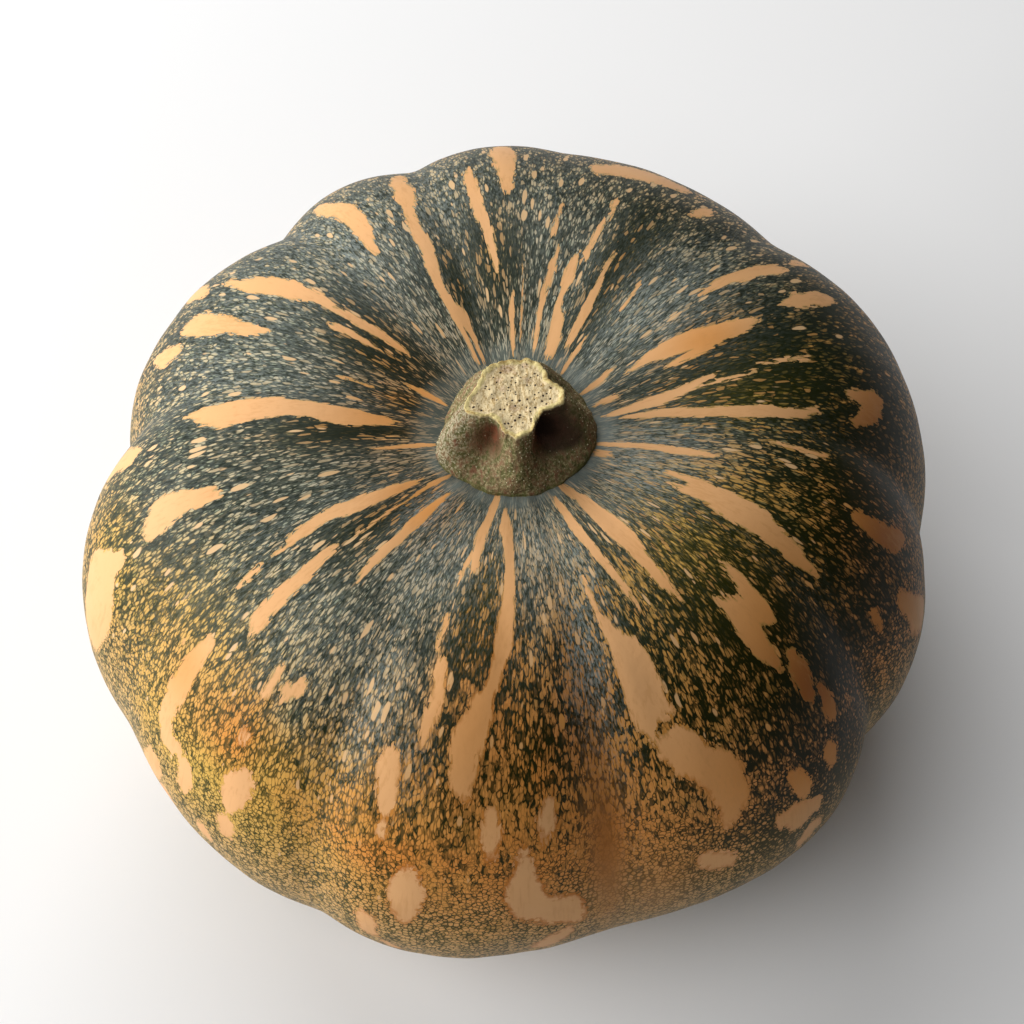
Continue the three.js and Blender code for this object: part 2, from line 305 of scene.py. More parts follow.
    ((230.3, 102, 1.0), (230, 105, 2.1), (229.4, 109, 2.2), (229.1, 112, 1.4)),
    ((229, 119.5, 1.7), (229, 121.5, 1.2)),
    ((228, 76, 1.0), (228, 82, 0.6)),
    ((230.6, 79, 0.9), (233, 76, 0.8)),
    ((228, 93, 0.8), (228, 94, 0.8)),
    ((225, 130, 1.3), (225.5, 132, 1.0)),
)
WARM_ZONES = (                  # azimuth, distance, half-width, half-length, strength
    (-84, 116, 32, 46, 0.9), (-20, 120, 30, 26, 0.5), (70, 122, 50, 40, 0.4),
    (225, 94, 7, 11, 0.8), (-104, 104, 20, 14, 0.9), (-76, 106, 6, 26, 1.0),
    (-83, 88, 8, 16, 0.9), (-95, 70, 10, 24, 0.8), (-8, 92, 18, 18, 0.6),
)
# Where the skin is darker: darker net and cells. On the back of the crown by the stem, whose
# slopes face away from the lamps, this is painted shade.
DARK_AND_SHADED_ZONES = (
    (-30, 94, 26, 20, 1.0), (0, 86, 26, 24, 1.0), (-40, 66, 22, 22, 0.7), (-42, 112, 16, 18, 0.9),
    (-15, 72, 20, 20, 0.5), (18, 56, 15, 34, 0.9), (-65, 62, 5, 14, 0.7), (-60, 38, 4, 9, 0.5),
    (-98, 50, 6, 22, 0.45), (-81, 86, 5, 16, 0.5), (10, 88, 20, 13, 1.0), (28, 80, 9, 12, 0.7),
    (148, 35, 7, 12, 1.0), (164, 23, 7, 8, 0.6), (60, 38, 7, 9, 0.5), (62, 44, 6, 22, 1.0),
    (97, 42, 8, 14, 0.9), (109, 38, 5, 14, 0.9), (142, 38, 7, 15, 0.9), (-178, 37, 7, 15, 1.0),
    (-155, 28, 6, 9, 0.4), (-140, 38, 8, 12, 0.9),
)
# Reddish tones of the skin. The broad zones on the right side also stand for the deeper, redder
# colour that the skin shows in shade there: partly painted shade.
RUDDY_ZONES = (
    (-97, 70, 9, 28, 0.6), (-36, 78, 18, 20, 0.9), (-50, 86, 10, 36, 0.7), (-10, 88, 22, 18, 1.2),
    (12, 88, 16, 12, 0.8), (-80, 74, 7, 16, 1.0), (-148, 92, 9, 10, 0.7), (28, 44, 8, 9, 0.8),
    (-35, 102, 30, 20, 1.3), (165, 25, 34, 12, 0.9), (-135, 27, 22, 9, 0.9),
)
GREEN_ZONES = (                 # yellowish green, as opposed to blue-grey
    (-148, 90, 15, 18, 1.0), (-132, 110, 24, 20, 0.9), (-166, 96, 12, 14, 0.6),
    (-38, 48, 24, 26, 0.7), (8, 46, 10, 18, 0.7), (-98, 46, 6, 18, 0.4),
)
PALE_ZONES = (                  # where more of the cells are pale
    (-128, 90, 32, 34, 1.0), (-112, 62, 12, 24, 0.6), (-84, 88, 24, 44, 0.7),
    (-80, 44, 7, 40, 0.8), (-45, 50, 24, 22, 0.7), (-60, 68, 12, 24, 0.7), (100, 50, 50, 40, 0.4),
    (-10, 100, 40, 30, 0.2), (-16, 44, 9, 24, 0.9), (-84, 20, 8, 10, 0.8),
    (-132, 22, 10, 12, 0.9), (-120, 46, 10, 12, 0.7), (-68, 50, 6, 10, 0.9),
    (-158, 22, 12, 10, 0.8), (-176, 56, 8, 10, 0.6), (84, 28, 5, 10, 0.9),
)
COARSE_ZONES = (                # where the net's meshes are long and wide
    (-70, 80, 34, 48, 1.2), (-8, 66, 34, 44, 1.0),
)
# Painted shade on blotches: a darker brown on the right side, away from the lamps.
SHADED_BLOTCH_ZONES = (
    (-40, 91, 12, 13, 1.0), (5, 88, 10, 14, 0.9), (-12, 91, 9, 14, 0.9), (-24, 100, 7, 14, 0.6),
)
BARE_ZONES = (
    (-76.5, 114, 3.2, 22, 0.9), (-70, 128, 6, 12, 0.5),
)
# Where the skin has a blue-grey bloom, with painted sheen besides: a lighter grey-blue that stands
# for the lamps' broad reflection on the crown and on the rib flanks that face them.
BLOOM_AND_SHEEN_ZONES = (
    (-92, 30, 60, 26, 0.7), (-82, 30, 6, 18, 0.8), (-68, 42, 5, 22, 1.1), (-133, 27, 9, 10, 1.4),
    (-20, 28, 40, 16, 1.2), (-75, 62, 5, 22, 1.0), (45, 38, 30, 26, 0.8), (-114, 72, 6, 18, 0.6),
    (-136, 66, 20, 20, 0.5), (-165, 62, 22, 14, 0.25), (130, 66, 50, 30, 0.8),
    (-170, 74, 30, 22, 0.25), (-108, 80, 5, 12, 0.5),
)
SKIN_ZONES = (
    ("bloom", BLOOM_AND_SHEEN_ZONES),
    ("bareness", BARE_ZONES),
    ("warmth", WARM_ZONES),
    ("darkness_and_shade", DARK_AND_SHADED_ZONES),
    ("ruddiness", RUDDY_ZONES),
    ("greenness", GREEN_ZONES),
    ("paleness", PALE_ZONES),
    ("coarseness", COARSE_ZONES),
    ("blotch_shade", SHADED_BLOTCH_ZONES),
)
HIDDEN_BLOTCHES = 96            # more of the same where the list above doesn't reach
HIDDEN_SEED = 7
HIDDEN_START = (90, 225)        # the range of their upper ends' distances from the stem
HIDDEN_LENGTH = (4, 26)
HIDDEN_WIDTH = (0.8, 2.6)       # half-width, degrees
HIDDEN_LEAN = 0.12              # degrees for each millimetre along, either way
HIDDEN_GAP = 6                  # between them and the listed ones
HIDDEN_END = 236                # they end before this distance
HALF_AS_LONG = 258              # the distance at which they would be half as long
KNOT_SPACING = 6
LIST_REACH = 113                # the distance up to which the list reaches, on average
LIST_TILT = 27                  # and how much farther in front, or less far behind
FAR = 1e3                       # a distance from all blotches
BLOTCH_LIMIT = 30               # the largest distance from a blotch that is stored
FURROW_LINE = 5.0               # degrees, half-width of the bloom in a furrow
PLAIN_FURROW = 0.05             # the depth from which a furrow has all of it

# ------------------------------------------------------------------ colours
# Palettes: the plain colour, then others that are laid over it by a zone's share.
# The near colours, greyer and lighter by the stem, are partly bloom and partly painted sheen.
CELL = ("c2ae82", ("near", 1.0, "b5ae96"), ("gold", 1.0, "c8954c"), ("green", 0.8, "c8a94e"),
        ("warm", 1.0, "d4883a"), ("ruddy", 0.6, "c68450"), ("under", 0.8, "cba66c"))
DULL = ("707962", ("near", 1.0, "929a86"), ("sunny", 1.0, "7c6e2c"), ("warm", 1.0, "b4782a"),
        ("under", 1.0, "967c44"), ("ruddy", 0.6, "8a5c30"))
LINE = ("0a150b", ("near", 1.0, "262c22"), ("sunny", 1.0, "141c04"), ("warm", 1.0, "2a2806"),
        ("under", 1.0, "4c4216"), ("green", 0.8, "383602"), ("ruddy", 0.25, "241204"))
DASH = ("cbb48c", ("near", 1.0, "a89a7c"), ("gold", 1.0, "bd8c50"))
# The net's lines where the bloom lies are lighter: partly bloom, partly painted sheen.
LINE_IN_BLOOM_AND_SHEEN = "3e443a"
# The darkest colours of the dull cells: darker skin, and painted shade on the back of the crown.
DEEPEST = {"plain": "2a2a14", "ruddy": "3c220c"}
# Blotch colours. The darkest brown, 9a5c28, is painted shade.
BLOTCH = {"plain": "dca873", "ruddy": "cf8c46", "under": "d6a26c", "shaded_blotch": "9a5c28",
          "streak": "c08a52", "edge": "857a3e", "warm edge": "b0661f"}
SPOT = {"plain": "d2ae80", "warm": "cc8c44"}
BARE = {"plain": "a8692c", "under": "b08050"}
SCAR = {"dark": "6e5a38", "pale": "b39a6c"}
# The bloom's grey-blue, which also stands for painted sheen.
BLOOM_AND_SHEEN = "8d9590"
COLLAR = "7a827c"
# The recess colours are partly the wood's own brown and partly painted shade; the two darkest,
# 35221a and 24160d, are painted shade on the side away from the lamps.
SIDE = {"green": "5e5c34", "brown": "826a4c", "pale grain": "aea47a", "dark grain": "2e2c18",
        "pale lobe": "a59b80", "red streak": "74402c", "green foot": "565a2a",
        "recess": "64402a", "red recess": "8a4a2e", "painted_shade": "35221a", "deepest": "24160d",
        "speck": "d3caa8"}
CUT = {"pale": "e6d2a6", "thread": "b39766", "pink": "c09a8c", "mottle": "9a7838",
       "pore": "3a2a1e", "rim": "d9c78a", "brown rim": "8f6a2c"}
PAPER = "ededed"
SURROUND = "f6f4f1"


# ------------------------------------------------------------------ nodes and formulas
def feed(tree, value, socket):
    """Give a socket a plain value, or link it to a field or to another node's output."""
    if isinstance(value, Field):
        value = value.socket
    if isinstance(value, bpy.types.NodeSocket):
        tree.links.new(value, socket)
    else:
        socket.default_value = value


def add_node(tree, kind, inputs=(), **settings):
    """A new node, with its settings made and its inputs, by name or number, filled in."""
    node = tree.nodes.new(kind)
    for name, value in settings.items():
        setattr(node, name, value)
    for label, value in dict(inputs).items():
        feed(tree, value, node.inputs[label])
    return node


class Field:
    """A value that varies over a surface: a socket of a node tree, with arithmetic."""

    def __init__(self, tree, socket):
        self.tree = tree
        self.socket = socket

    def math(self, operation, *others):
        inputs = enumerate((self, *others))
        node = add_node(self.tree, "ShaderNodeMath", inputs, operation=operation)
        return Field(self.tree, node.outputs[0])

    __add__ = __radd__ = partialmethod(math, "ADD")
    __sub__ = partialmethod(math, "SUBTRACT")
    __mul__ = __rmul__ = partialmethod(math, "MULTIPLY")
    __truediv__ = partialmethod(math, "DIVIDE")
    __pow__ = partialmethod(math, "POWER")
    __neg__ = partialmethod(math, "MULTIPLY", -1.0)

    def __rsub__(self, other):
        return -self + other

    def __rtruediv__(self, other):
        return self ** -1.0 * other


def either(operation, plain):
    """A function that takes a field, or plain numbers."""
    def function(x, *others):
        return x.math(operation, *others) if isinstance(x, Field) else plain(x, *others)
    return function


sine = either("SINE", np.sin)
cosine = either("COSINE", np.cos)
exponential = either("EXPONENT", np.exp)
at_least = either("MAXIMUM", np.maximum)
at_most = either("MINIMUM", np.minimum)
is_above = either("GREATER_THAN", lambda x, level: (x > level) * 1.0)


def turned(azimuth, other):
    """The turn from one azimuth to another, from -180 to 180 degrees."""
    if isinstance(azimuth, Field):
        return (azimuth - other).math("WRAP", 180.0, -180.0)
    return (azimuth - other + 180) % 360 - 180


def hill(azimuth, middle, spread):
    """1 at an azimuth, and less to either side of it."""
    return np.exp(-((turned(azimuth, middle) / spread) ** 2))


def ease(x, low, high):
    """0 below low, 1 above high and smooth between. low may be the larger one."""
    share = at_least(at_most((x - low) / (high - low), 1.0), 0.0)
    return share * share * (3.0 - 2.0 * share)


def blend(a, b, share):
    return a + (b - a) * share


# ------------------------------------------------------------------ the fruit's form

def meridian(angle, size):
    """A rib's meridian at an angle from the stem, as a part of the reach and a height."""
    across = sine(angle)
    along = cosine(angle)
    crown = is_above(along, 0.0)
    crown_out = across ** (2.0 / size["Crown fullness"])
    belly_out = across ** (2.0 / size["Belly fullness"])
    out = blend(belly_out, crown_out, crown)
    near = out / size["Hollow width"]
    hollow = size["Hollow depth"] * exponential(-(near * near))
    crown_z = size["Crown rise"] * at_least(along, 0.0) ** (2.0 / size["Crown flatness"]) - hollow
    belly_z = -(size["Belly drop"] * at_least(-along, 0.0) ** (2.0 / size["Belly flatness"]))
    return out, blend(belly_z, crown_z, crown)


def furrow_depth(azimuth, angle):
    belly = ease(angle, BELLY_FROM, BELLY_TO)
    depth = 0.0
    for place, crown_depth, belly_depth in FURROWS:
        turn = turned(azimuth, place)
        away = (turn * turn + FURROW_ROUNDING ** 2) ** 0.5
        fall = exponential(away * (-1 / FURROW_SPREAD))
        depth = depth + blend(crown_depth, belly_depth, belly) * fall
    return depth


def unevenness(azimuth):
    factor = 1.0
    for waves, cosine_share, sine_share in UNEVENNESS:
        turn = azimuth * math.radians(waves)
        factor = factor + cosine_share * cosine(turn) + sine_share * sine(turn)
    return factor


def skin_place(azimuth, angle, size):
    """Radius from the stem's axis and height over the ground of a point of the skin."""
    out, z = meridian(angle, size)
    along = cosine(angle)
    crown = is_above(along, 0.0)
    reach = out * size["Reach"]
    fade = blend(ease(reach, size["Ring outer"], size["Ring outer"] + RIB_FADE), 1.0, crown)
    depth = furrow_depth(azimuth, angle) * out ** FURROW_TAPER * fade
    sag = along * blend(-BELLY_SAG, -CROWN_SAG, crown)
    radius = reach * (unevenness(azimuth) - depth)
    height = z - FLOOR + depth * sag * size["Reach"]
    inside = at_most(reach / size["Ring inner"], 1.0)
    blossom = (1.0 - cosine((1.0 - inside) * math.pi)) * size["Blossom depth"] * 0.5
    return radius, at_least(height, 0.0) + blossom * (1.0 - crown)


def distances_along(angles):
    """How far over the skin from the stem's axis each angle of the meridian lies."""
    out, z = meridian(angles, SIZES)
    steps = np.hypot(np.diff(out * REACH), np.diff(z))
    return np.concatenate(([0], np.cumsum(steps))) / MM


RING_ANGLE = math.pi - math.asin((SIZES["Ring outer"] / REACH) ** (SIZES["Belly fullness"] / 2))
SEAT_ANGLE = math.asin((SEAT_REACH / REACH) ** (SIZES["Crown fullness"] / 2))
FLOOR = float(meridian(np.array(RING_ANGLE), SIZES)[1])
SEAT = float(meridian(np.array(SEAT_ANGLE), SIZES)[1]) - FLOOR
ANGLES = np.linspace(0, math.pi, MERIDIAN_STEPS)
DISTANCES = distances_along(ANGLES)
BLOSSOM_END = float(DISTANCES[-1])


def closed_tube_faces(rings, columns):
    """Faces of a tube of rings of points, top ring first, with a point closing each end."""
    faces = []
    for ring in range(rings - 1):
        here = 1 + ring * columns
        below = here + columns
        for column in range(columns):
            after = (column + 1) % columns
            faces.append((here + column, below + column, below + after, here + after))
    last = rings * columns + 1
    bottom = last - columns
    for column in range(columns):
        after = (column + 1) % columns
        faces.append((0, 1 + column, 1 + after))
        faces.append((last, bottom + after, bottom + column))
    return faces


def add_attribute(mesh, name, values, kind="FLOAT"):
    layer = mesh.attributes.new(name, kind, "POINT")
    field = "vector" if kind == "FLOAT_VECTOR" else "value"
    layer.data.foreach_set(field, np.asarray(values, dtype=np.float32).ravel())


def read_attribute(mesh, name):
    values = np.empty(len(mesh.vertices), dtype=np.float32)
    mesh.attributes[name].data.foreach_get("value", values)
    return values.astype(float)


def crown_map(azimuth, distance):
    """Where points of the skin lie on the cone that the crown's net is drawn on."""
    rows = np.linspace(0, distance.max(), CONE_STEPS)
    step = blend(CONE_STRETCH, CONE_SQUARE, ease(rows, *CONE_CHANGE)) * np.gradient(rows)
    radius = CONE_TOP + CONE_SPREAD * np.minimum(rows, CONE_EDGE)
    rise = np.sqrt(np.maximum(step ** 2 - np.gradient(radius) ** 2, 0))
    wide = np.interp(distance, rows, radius)
    turn = np.radians(azimuth)
    height = np.interp(distance, rows, np.cumsum(rise))
    return np.stack((np.cos(turn) * wide, np.sin(turn) * wide, height), axis=-1)


def fruit_lattice():
    """The fruit's faces, laid out evenly over its skin but not yet in shape."""
    rows = np.linspace(0, BLOSSOM_END, FRUIT_ROWS + 2)[1:-1]
    columns = np.arange(FRUIT_COLUMNS) * 360 / FRUIT_COLUMNS
    azimuth, distance = np.meshgrid(columns, rows)
    azimuth = np.concatenate(([0], azimuth.ravel(), [0]))
    distance = np.concatenate(([0], distance.ravel(), [BLOSSOM_END]))
    cone = crown_map(azimuth, distance)
    mesh = bpy.data.meshes.new("fruit lattice")
    mesh.from_pydata(cone * MM, [], closed_tube_faces(FRUIT_ROWS, FRUIT_COLUMNS))
    add_attribute(mesh, "azimuth", azimuth)
    add_attribute(mesh, "distance", distance)
    add_attribute(mesh, "meridian_angle", np.interp(distance, DISTANCES, ANGLES))
    add_attribute(mesh, "crown_place", cone, "FLOAT_VECTOR")
    return mesh


def named_field(tree, name):
    node = add_node(tree, "GeometryNodeInputNamedAttribute", {"Name": name}, data_type="FLOAT")
    return Field(tree, node.outputs["Attribute"])


def new_tree(name, sizes):
    """A geometry tree with a size input for each name, a material input, and its sockets."""
    tree = bpy.data.node_groups.new(name, "GeometryNodeTree")
    kinds = {label: "Int" if isinstance(value, int) else "Float" for label, value in sizes.items()}
    tree.interface.new_socket("Geometry", in_out="OUTPUT", socket_type="NodeSocketGeometry")
    for label, kind in {"Geometry": "Geometry", **kinds, "Material": "Material"}.items():
        tree.interface.new_socket(label, in_out="INPUT", socket_type="NodeSocket" + kind)
    return tree, tree.nodes.new("NodeGroupInput")


def finish_tree(tree, source, geometry):
    """Realise what is left as instances, give it the tree's material and put it out."""
    realize = add_node(tree, "GeometryNodeRealizeInstances", {"Geometry": geometry})
    paint = add_node(tree, "GeometryNodeSetMaterial", {
        "Geometry": realize.outputs["Geometry"], "Material": source.outputs["Material"]})
    add_node(tree, "NodeGroupOutput", {"Geometry": paint.outputs["Geometry"]})
    return tree


def put_in_scene(name, data):
    thing = bpy.data.objects.new(name, data)
    bpy.context.collection.objects.link(thing)
    return thing


def grow(tree, mesh, name, sizes, material):
    """Run a geometry tree on a mesh with the given sizes, and keep the result as plain mesh."""
    host = put_in_scene(name, mesh)
    modifier = host.modifiers.new(name, "NODES")
    modifier.node_group = tree
    values = dict(sizes, Material=material)
    for item in tree.interface.items_tree:
        if item.in_out == "INPUT" and item.name in values:
            modifier[item.identifier] = values[item.name]
    graph = bpy.context.evaluated_depsgraph_get()
    grown = bpy.data.meshes.new_from_object(host.evaluated_get(graph), depsgraph=graph)
    host.modifiers.clear()
    host.data = grown
    grown.name = name
    grown.polygons.foreach_set("use_smooth", [True] * len(grown.polygons))
    return host


def ribbed_fruit_tree():
    tree, source = new_tree("ribbed fruit", SIZES)
    size = {label: Field(tree, source.outputs[label]) for label in SIZES}
    azimuth = named_field(tree, "azimuth")
    angle = named_field(tree, "meridian_angle")
    radius, height = skin_place(azimuth, angle, size)
    position = add_node(tree, "GeometryNodeInputPosition").outputs[0]
    wave = add_node(tree, "ShaderNodeTexNoise", {
        "Vector": position, "Scale": 1 / (SKIN_WAVE_LENGTH * MM), "Detail": 1.0})
    swell = (Field(tree, wave.outputs[0]) - 0.5) * (2 * SKIN_WAVE)
    swell = swell * ease(height, 0.0, SKIN_WAVE_FROM)
    radius = radius + swell * sine(angle)
    height = height + swell * cosine(angle)
    turn = azimuth * math.radians(1)
    place = add_node(tree, "ShaderNodeCombineXYZ", {
        "X": radius * cosine(turn) + AXIS.x, "Y": radius * sine(turn) + AXIS.y, "Z": height})
    move = add_node(tree, "GeometryNodeSetPosition", {
        "Geometry": source.outputs["Geometry"], "Position": place.outputs[0]})
    return finish_tree(tree, source, move.outputs["Geometry"])


# ------------------------------------------------------------------ the fruit's markings
def chain_distance(azimuth, distance, chain):
    """How far points of the skin lie from a blotch's outline, in the pattern's millimetres."""
    nearest = np.full(len(azimuth), FAR)
    for (turn_a, along_a, wide_a), (turn_b, along_b, wide_b) in zip(chain, chain[1:]):
        x = turned(azimuth, turn_a) * MAP_PER_DEGREE
        y = distance - along_a
        step_x = turned(turn_b, turn_a) * MAP_PER_DEGREE
        step_y = along_b - along_a
        share = np.clip((x * step_x + y * step_y) / (step_x ** 2 + step_y ** 2), 0, 1)
        wide = blend(wide_a, wide_b, share) * MAP_PER_DEGREE
        gap = np.hypot(x - share * step_x, y - share * step_y) - wide
        nearest = np.minimum(nearest, gap)
    return nearest


def seen_limit(azimuth):
    """The distance from the stem up to which the listed blotches reach."""
    return LIST_REACH - LIST_TILT * math.sin(math.radians(azimuth))


def hidden_blotches():
    """Blotches of the same kind, by a seeded rule, for the far side and the belly."""
    draw = random.Random(HIDDEN_SEED)
    chains = []
    while len(chains) < HIDDEN_BLOTCHES:
        azimuth = draw.uniform(-180, 180)
        start = draw.uniform(*HIDDEN_START)
        length = draw.uniform(*HIDDEN_LENGTH) * (1 - 0.5 * start / HALF_AS_LONG)
        wide = draw.uniform(*HIDDEN_WIDTH)
        lean = draw.uniform(-HIDDEN_LEAN, HIDDEN_LEAN)
        if start < seen_limit(azimuth) + HIDDEN_GAP or start + length > HIDDEN_END:
            continue
        knots = 2 + int(length / KNOT_SPACING)
        chain = []
        for knot in range(knots):
            share = knot / (knots - 1)
            bulge = 0.45 + 0.55 * math.sin(math.pi * (0.12 + 0.76 * share))
            sway = draw.uniform(-0.5, 0.5)
            chain.append((azimuth + lean * length * share + sway, start + length * share,
                          wide * bulge * draw.uniform(0.75, 1.2)))
        chains.append(tuple(chain))
    return chains


def mark_fruit(mesh):
    """Store what the rind's material needs to know about each point of the skin."""
    azimuth = read_attribute(mesh, "azimuth")
    distance = read_attribute(mesh, "distance")
    blotch = np.full(len(azimuth), FAR)
    for chain in list(BLOTCHES) + hidden_blotches():
        blotch = np.minimum(blotch, chain_distance(azimuth, distance, chain))
    add_attribute(mesh, "blotch", np.clip(blotch, -BLOTCH_LIMIT, BLOTCH_LIMIT))
    furrow = np.zeros(len(azimuth))
    for place, depth, _ in FURROWS:
        line = hill(azimuth, place, FURROW_LINE) * min(1, depth / PLAIN_FURROW)
        furrow = np.maximum(furrow, line)
    add_attribute(mesh, "furrow", furrow)
    for name, zones in SKIN_ZONES:
        share = np.zeros(len(azimuth))
        for place, along, wide, length, strength in zones:
            near = (turned(azimuth, place) / wide) ** 2 + ((distance - along) / length) ** 2
            share = np.maximum(share, strength * np.exp(-near))
        add_attribute(mesh, name, share)


# ------------------------------------------------------------------ materials
def linear(hexa):
    """A colour written as six hexadecimal digits, as linear light."""
    parts = [int(hexa[i:i + 2], 16) / 255 for i in (0, 2, 4)]
    light = [p / 12.92 if p <= 0.04045 else ((p + 0.055) / 1.055) ** 2.4 for p in parts]
    return (*light, 1.0)


class Finish:
    """A material under construction: its tree, its surface shader, and short ways to add nodes."""

    def __init__(self, name):
        self.material = bpy.data.materials.new(name)
        self.material.use_nodes = True
        self.tree = self.material.node_tree
        self.shader = self.tree.nodes["Principled BSDF"]

    def node(self, kind, inputs=(), **settings):
        return add_node(self.tree, kind, inputs, **settings)

    def set(self, **values):
        """Set the shader's own sockets, each named with _ for a space."""
        for name, value in values.items():
            feed(self.tree, value, self.shader.inputs[name.replace("_", " ")])

    def value(self, name):
        node = self.node("ShaderNodeAttribute", attribute_name=name)
        return Field(self.tree, node.outputs["Fac"])

    def place(self, name):
        return self.node("ShaderNodeAttribute", attribute_name=name).outputs["Vector"]

    def object_place(self):
        return self.node("ShaderNodeTexCoord").outputs["Object"]

    def stretched(self, vector, *scale):
        return self.node("ShaderNodeMapping", {"Vector": vector, "Scale": scale}).outputs[0]

    def noise(self, vector, size, detail=2.0, roughness=0.5):
        node = self.node("ShaderNodeTexNoise", {
            "Vector": vector, "Scale": 1 / size, "Detail": detail, "Roughness": roughness})
        return Field(self.tree, node.outputs[0])

    def shifted(self, vector, size, amount):
        """The vector, moved about by a noise so that straight lines wander."""
        noise_node = self.node("ShaderNodeTexNoise", {
            "Vector": vector, "Scale": 1 / size, "Detail": 1.0})
        centred = self.node("ShaderNodeVectorMath", {
            0: noise_node.outputs["Color"], 1: (0.5, 0.5, 0.5)}, operation="SUBTRACT")
        scaled = self.node("ShaderNodeVectorMath", {
            0: centred.outputs[0], "Scale": amount}, operation="SCALE")
        total = self.node("ShaderNodeVectorMath", {0: vector, 1: scaled.outputs[0]},
                          operation="ADD")
        return total.outputs[0]

    def cell_middles(self, vector, size):
        """The distance from the middle of a cell, and each cell's own number from 0 to 1."""
        node = self.node("ShaderNodeTexVoronoi", {"Vector": vector, "Scale": 1 / size})
        part = self.node("ShaderNodeSeparateColor", {0: node.outputs["Color"]})
        return Field(self.tree, node.outputs["Distance"]), Field(self.tree, part.outputs[0])

    def net(self, vector, size, roundness, grit):
        """How far points lie inside the cells of a net, and a number of its own for each."""
        node = self.node("ShaderNodeTexVoronoi", {"Vector": vector, "Scale": 1 / size},
                         feature="DISTANCE_TO_EDGE")
        middle, own = self.cell_middles(vector, size)
        return Field(self.tree, node.outputs["Distance"]) - middle * roundness + grit, own

    def mix(self, a, b, share):
        """A colour between two colours, each six digits or a colour socket."""
        a, b = (linear(colour) if isinstance(colour, str) else colour for colour in (a, b))
        inputs = {"Factor": share, 6: a, 7: b}
        return self.node("ShaderNodeMix", inputs, data_type="RGBA").outputs[2]

    def layers(self, colour, *coats):
        """A colour with others laid over it in turn, each by its share."""
        for coat, share in coats:
            colour = self.mix(colour, coat, share)
        return colour

    def bump(self, height, strength, distance):
        return self.node("ShaderNodeBump", {
            "Height": height, "Strength": strength, "Distance": distance}).outputs[0]


def skin_fields(rind):
    """What the markings of the rind are made from: places, noises, and zones as shares."""
    skin = SimpleNamespace()
    skin.place = rind.stretched(rind.object_place(), 1 / MM, 1 / MM, 1 / MM)
    skin.crown_place = rind.place("crown_place")
    skin.distance = rind.value("distance")
    skin.patch = rind.noise(skin.place, PATCH_SIZE) - 0.5
    skin.grit = rind.noise(skin.place, GRIT_SIZE, 1.0) - 0.5
    band_place = rind.stretched(skin.crown_place, 1.0, 1.0, 0.2)
    streak_place = rind.stretched(skin.crown_place, 1.0, 1.0, 0.16)
    skin.bands = rind.noise(band_place, BAND_SIZE) - 0.5
    skin.streaks = rind.noise(streak_place, STREAK_SIZE, 3.0, 0.65)
    skin.near = ease(skin.distance, *NEAR_STEM)
    skin.belly = ease(skin.distance + skin.patch * 30.0, *BELLY)
    skin.crown = 1.0 - skin.belly
    skin.under = ease(skin.distance + skin.patch * 24.0, *UNDERSIDE)
    warm = rind.value("warmth") * (1.0 + skin.patch * 1.6)
    skin.warm = at_least(at_most(warm, 1.0), 0.0)
    # Darker skin, and painted shade on the back of the crown by the stem.
    skin.dark = at_most(rind.value("darkness_and_shade"), 1.0)
    skin.ruddy = at_most(rind.value("ruddiness"), 1.0)
    skin.coarse = at_most(rind.value("coarseness"), 1.0)
    skin.green = rind.value("greenness")
    skin.pale = rind.value("paleness")
    skin.bloom = rind.value("bloom")
    sunny = skin.warm + skin.ruddy * 0.5 + skin.dark + skin.belly * 0.6 + skin.green
    skin.sunny = at_most(sunny, 1.0)
    skin.gold = at_most(skin.sunny + skin.coarse * 0.6, 1.0)
    return skin


def skin_net(rind, skin):
    """Two nets of dark lines: a long one over the crown and an even one over the belly.

    Each cell between the lines has a number of its own, for its size and paleness.
    """
    net = SimpleNamespace()
    long_place = rind.shifted(skin.crown_place, 3.0, 1.1)
    fibre_place = rind.stretched(long_place, 1.0, 1.0, 0.42)
    even_place = rind.shifted(skin.place, 1.6, 0.5)
    net.long_cell, net.long_own = rind.net(long_place, CONE_PITCH, 0.40, skin.grit * 0.14)
    net.fibre_cell, net.fibre_own = rind.net(fibre_place, FIBRE_PITCH, 0.10, skin.grit * 0.10)
    net.even_cell, net.even_own = rind.net(even_place, NET_PITCH, 0.12, skin.grit * 0.10)
    border = skin.distance + skin.patch * 20.0 + (net.even_own - 0.5) * 20.0
    net.which = ease(border, *EVEN_NET)
    net.own = blend(net.long_own, net.even_own, net.which)
    return net


def pale_cells(skin, net, ragged, halo):
    """Where the skin is pale between the net's lines. Near a blotch the lines thin out."""
    dark = skin.patch * 0.25 + skin.bands * 0.30 + halo * skin.crown * 0.05
    dark = dark + skin.dark * 0.18 - skin.pale * 0.07
    dark = dark + (0.5 - skin.streaks) * 0.45 * skin.crown
    sunlit = at_most(skin.warm + skin.green, 1.0)
    long_width = dark + (0.5 - net.long_own) * 0.26 + 0.06 + skin.coarse * 0.05
    long_width = long_width - skin.belly * 0.07 - sunlit * 0.03
    even_width = dark * 0.6 + skin.dark * 0.10 + (0.5 - net.even_own) * 0.12 + 0.03
    open_up = ease(ragged, -0.4, 0.4)
    long_width = blend(-0.4, long_width, open_up)
    even_width = blend(-0.4, even_width, open_up)
    long_pale = ease(net.long_cell, long_width - 0.12, long_width + 0.13)
    fibre_pale = ease(net.fibre_cell, long_width - 0.12, long_width + 0.07)
    whole = skin.coarse * ease(net.fibre_own + skin.streaks * 0.6 - 0.3, 0.25, 0.50)
    long_pale = fibre_pale * blend(blend(0.15, 0.9, whole), 1.0, long_pale)
    even_pale = ease(net.even_cell, even_width - 0.08, even_width + 0.13)
    return blend(long_pale, even_pale, net.which)


